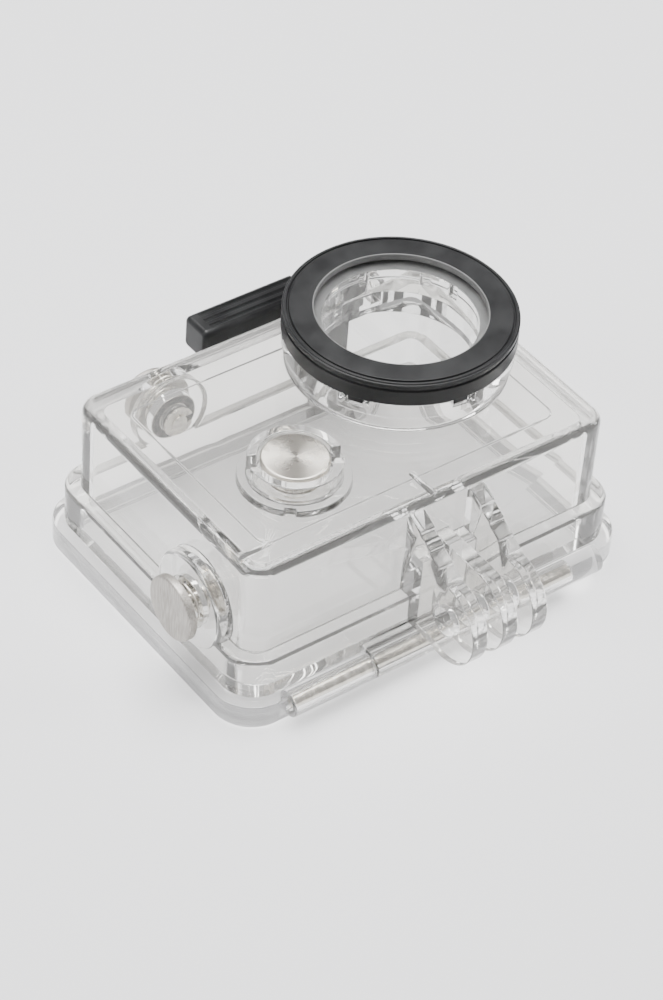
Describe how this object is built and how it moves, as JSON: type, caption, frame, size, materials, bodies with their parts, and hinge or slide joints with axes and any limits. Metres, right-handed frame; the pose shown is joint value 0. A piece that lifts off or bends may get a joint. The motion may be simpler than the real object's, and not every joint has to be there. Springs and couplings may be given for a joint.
{
  "type": "waterproof action camera housing",
  "caption": "Clear waterproof dive housing for a small action camera, with a round lens port, steel push buttons, a hinged back door with a latch, and mounting fingers.",
  "frame": {"origin": "centre of the back door's outer face, on which the housing lies", "axes": "+Z out through the lens port, +X along the long side towards the lens port, +Y towards the latch, -Y towards the hinge and the mounting fingers"},
  "size_m": [0.0815, 0.0764, 0.0396],
  "materials": {
    "clear_shell": "clear moulded polycarbonate, polished",
    "port_glass": "flat polished glass",
    "clear_silicone": "translucent silicone",
    "black_plastic": "satin black moulded plastic",
    "black_rubber": "matte",
    "brushed_steel": "spun face",
    "polished_steel": "polished stainless steel",
    "spring_steel": "drawn wire"
  },
  "bodies": {
    "housing": {"front_shell": "clear_shell", "lens_port": "clear_shell", "mount_fingers": "clear_shell", "port_glass": "port_glass", "port_seal": "black_rubber", "port_ring": "black_plastic", "hinge_pin": "polished_steel", "latch_pin": "polished_steel", "front_button_spring": "spring_steel", "front_button_washer": "polished_steel", "front_button_seal": "black_rubber", "side_button_spring": "spring_steel", "side_button_washer": "polished_steel", "side_button_seal": "black_rubber", "top_button_spring": "spring_steel", "top_button_washer": "polished_steel", "top_button_seal": "black_rubber"},
    "door": {"back_door": "clear_shell", "door_gasket": "clear_silicone"},
    "latch": {"latch_lever": "black_plastic"},
    "front_button": {"front_button_cap": "brushed_steel", "front_button_plunger": "polished_steel", "front_button_clip": "spring_steel"},
    "side_button": {"side_button_cap": "brushed_steel", "side_button_plunger": "polished_steel", "side_button_clip": "spring_steel"},
    "top_button": {"top_button_cap": "brushed_steel", "top_button_plunger": "polished_steel", "top_button_clip": "spring_steel"}
  },
  "joints": [
    {"name": "door_hinge", "type": "hinge", "parent": "housing", "child": "door", "pos_m": [0, -0.0303, 0.0045], "axis": [-1, 0, 0], "range_deg": [0, 100]},
    {"name": "latch_pivot", "type": "hinge", "parent": "housing", "child": "latch", "pos_m": [0.0192, 0.0292, 0.0278], "axis": [1, 0, 0], "range_deg": [0, 115]},
    {"name": "front_button_press", "type": "slide", "parent": "housing", "child": "front_button", "axis": [0, 0, -1], "range_m": [0, 0.0015], "stiffness_N_per_m": 400, "springref_m": -0.002, "deforming": ["front_button_spring"]},
    {"name": "side_button_press", "type": "slide", "parent": "housing", "child": "side_button", "axis": [1, 0, 0], "range_m": [0, 0.0015], "stiffness_N_per_m": 400, "springref_m": -0.002, "deforming": ["side_button_spring"]},
    {"name": "top_button_press", "type": "slide", "parent": "housing", "child": "top_button", "axis": [0, -1, 0], "range_m": [0, 0.0015], "stiffness_N_per_m": 400, "springref_m": -0.002, "deforming": ["top_button_spring"]}
  ],
  "couplings": [
    {"joint": "latch_pivot", "follows": "door_hinge", "ratio": 1.15}
  ]
}
